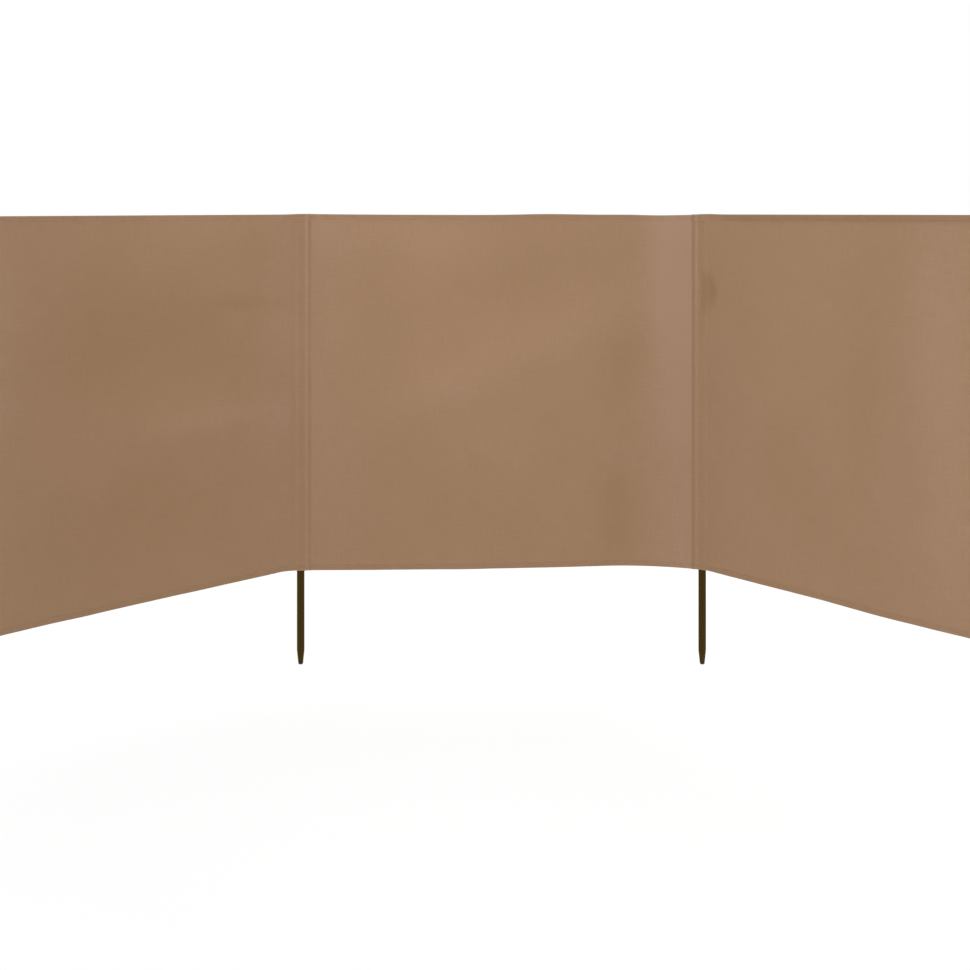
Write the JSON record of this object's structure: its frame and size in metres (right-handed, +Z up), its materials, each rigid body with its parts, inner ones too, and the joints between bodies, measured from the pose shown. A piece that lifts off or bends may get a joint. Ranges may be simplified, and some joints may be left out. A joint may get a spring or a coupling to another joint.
{
  "type": "fabric windbreak",
  "caption": "Standing cloth windbreak of bays between upright steel poles in sewn tunnels, with tapered feet to drive into the ground; the outer bays swing about their shared poles.",
  "frame": {"origin": "centre of the flat foot of the middle bay's left pole", "axes": "+X along the middle bay to its right pole, -Y towards the sheltered front, +Z up"},
  "size_m": [3.2287, 1.0409, 1.502],
  "materials": {
    "cloth": "plain-woven taupe polyester cloth, matt",
    "pole_paint": "dark brown powder coat, satin",
    "plug_plastic": "black moulded plastic"
  },
  "bodies": {
    "middle_bay": {"middle_panel": "cloth", "middle_top_hem": "cloth", "middle_bottom_hem": "cloth", "left_pole": "pole_paint", "left_pole_plug": "plug_plastic", "left_pole_tunnel": "cloth", "right_pole": "pole_paint", "right_pole_plug": "plug_plastic", "right_pole_tunnel": "cloth"},
    "left_bay": {"left_panel": "cloth", "left_top_hem": "cloth", "left_bottom_hem": "cloth", "left_end_pole": "pole_paint", "left_end_pole_plug": "plug_plastic", "left_end_pole_tunnel": "cloth"},
    "right_bay": {"right_panel": "cloth", "right_top_hem": "cloth", "right_bottom_hem": "cloth", "right_end_pole": "pole_paint", "right_end_pole_plug": "plug_plastic", "right_end_pole_tunnel": "cloth"}
  },
  "joints": [
    {"name": "left_bay_swing", "type": "hinge", "parent": "middle_bay", "child": "left_bay", "pos_m": [0, 0, 0], "axis": [0, 0, 1], "range_deg": [-118, 117]},
    {"name": "right_bay_swing", "type": "hinge", "parent": "middle_bay", "child": "right_bay", "pos_m": [1.34, 0, 0], "axis": [0, 0, 1], "range_deg": [-26, 209]}
  ]
}
